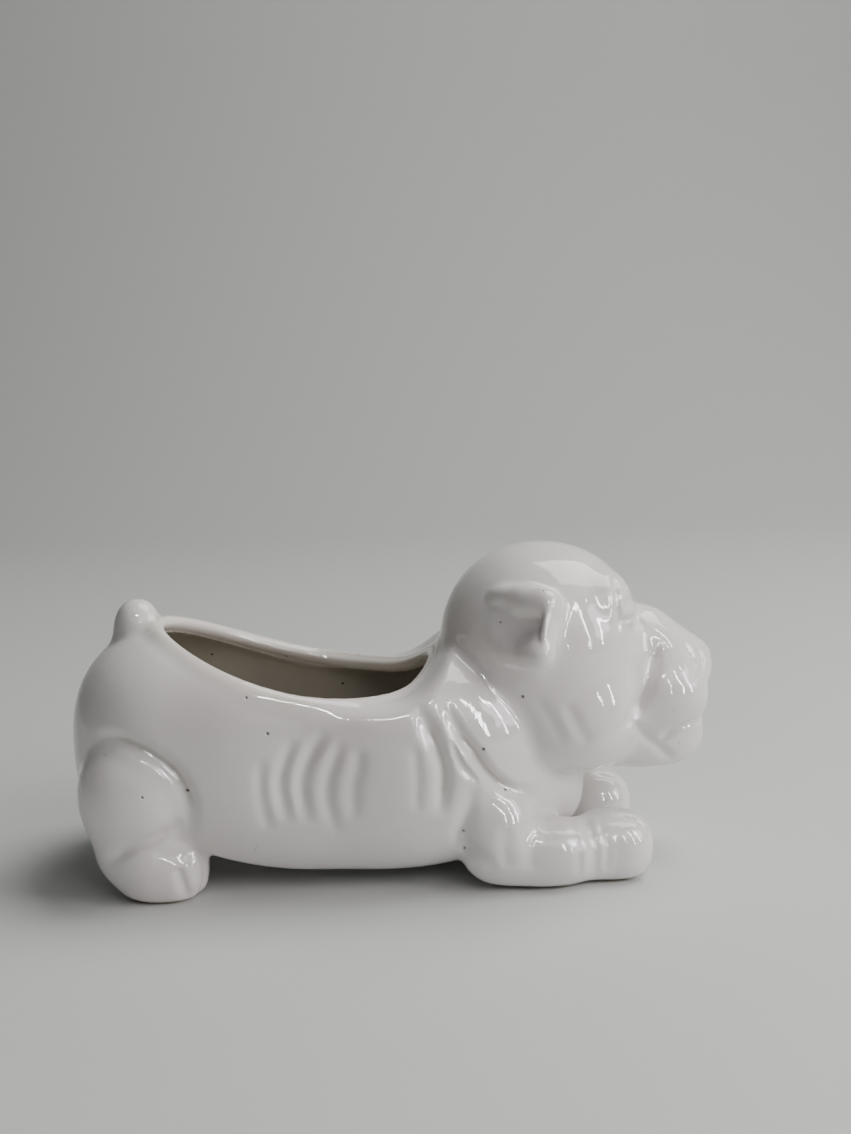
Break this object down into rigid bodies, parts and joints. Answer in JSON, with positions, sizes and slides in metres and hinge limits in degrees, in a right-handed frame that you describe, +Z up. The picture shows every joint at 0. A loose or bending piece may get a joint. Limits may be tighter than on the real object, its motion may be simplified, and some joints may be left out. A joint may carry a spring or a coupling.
{
  "type": "figural planter",
  "caption": "White glazed ceramic planter in the form of a lying bulldog pup, its back an open oval basin.",
  "frame": {"origin": "on the table below the middle of the dog's bounding box", "axes": "+X from the tail towards the nose, +Y to the dog's left, +Z up"},
  "size_m": [0.1905, 0.0776, 0.0955],
  "materials": {
    "white_glaze": "gloss"
  },
  "bodies": {
    "root": {"trunk_basin": "white_glaze", "head": "white_glaze", "ear_left": "white_glaze", "ear_right": "white_glaze", "tail": "white_glaze", "foreleg_left": "white_glaze", "foreleg_right": "white_glaze", "hind_leg_left": "white_glaze", "hind_leg_right": "white_glaze"}
  },
  "joints": []
}
